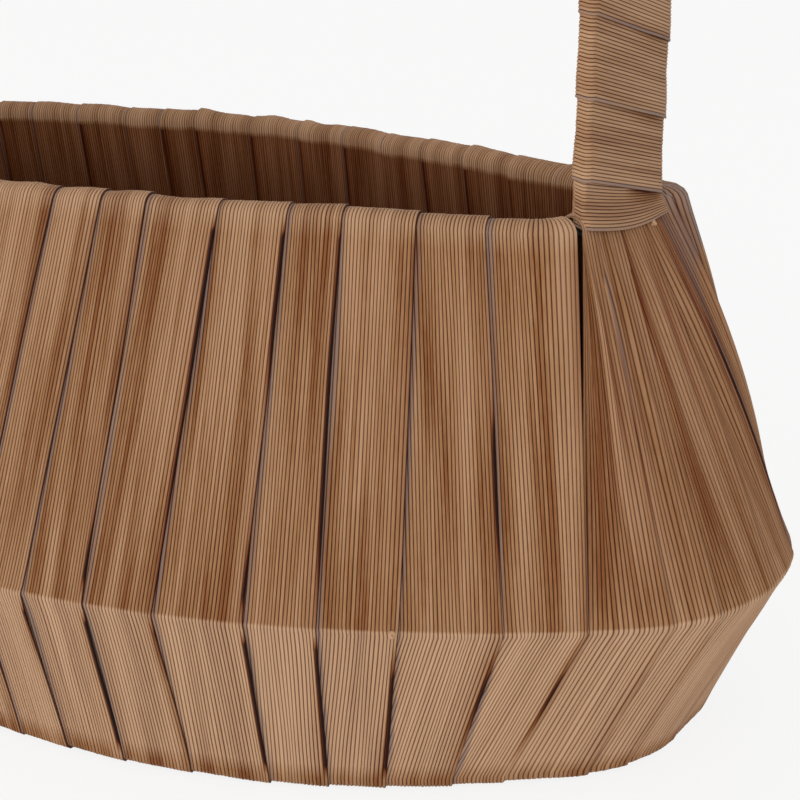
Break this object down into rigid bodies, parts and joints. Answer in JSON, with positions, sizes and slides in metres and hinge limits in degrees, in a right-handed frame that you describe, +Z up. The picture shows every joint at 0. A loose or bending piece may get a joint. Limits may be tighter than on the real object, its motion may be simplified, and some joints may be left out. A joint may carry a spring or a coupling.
{
  "type": "foraging basket",
  "caption": "Long boat-shaped foraging basket of tape bands lapped over steel hoops, with a fixed flat arched handle wound in the same tape.",
  "frame": {"origin": "middle of the base on the floor", "axes": "+X along the basket towards the handle foot shown in the picture, +Z up"},
  "size_m": [0.4734, 0.2598, 0.3647],
  "materials": {
    "tape": "corded paper tape, tan brown, matt with a slight sheen",
    "frame": "galvanised steel wire and strip, dull",
    "board": "plain plywood"
  },
  "bodies": {
    "root": {"wall_band_01": "tape", "wall_band_02": "tape", "wall_band_03": "tape", "wall_band_04": "tape", "wall_band_05": "tape", "wall_band_06": "tape", "wall_band_07": "tape", "wall_band_08": "tape", "wall_band_09": "tape", "wall_band_10": "tape", "wall_band_11": "tape", "wall_band_12": "tape", "wall_band_13": "tape", "wall_band_14": "tape", "wall_band_15": "tape", "wall_band_16": "tape", "wall_band_17": "tape", "wall_band_18": "tape", "wall_band_19": "tape", "wall_band_20": "tape", "wall_band_21": "tape", "wall_band_22": "tape", "wall_band_23": "tape", "wall_band_24": "tape", "wall_band_25": "tape", "wall_band_26": "tape", "wall_band_27": "tape", "wall_band_28": "tape", "wall_band_29": "tape", "wall_band_30": "tape", "wall_band_31": "tape", "wall_band_32": "tape", "wall_band_33": "tape", "wall_band_34": "tape", "wall_band_35": "tape", "wall_band_36": "tape", "wall_band_37": "tape", "wall_band_38": "tape", "wall_band_39": "tape", "wall_band_40": "tape", "wall_band_41": "tape", "wall_band_42": "tape", "wall_band_43": "tape", "wall_band_44": "tape", "wall_band_45": "tape", "wall_band_46": "tape", "wall_band_47": "tape", "wall_band_48": "tape", "floor_mat": "tape", "handle_winding_right": "tape", "handle_winding_left": "tape", "foot_band_right": "tape", "foot_band_left": "tape", "rim_hoop": "frame", "belly_hoop": "frame", "base_hoop": "frame", "handle_core": "frame", "base_board": "board"}
  },
  "joints": []
}
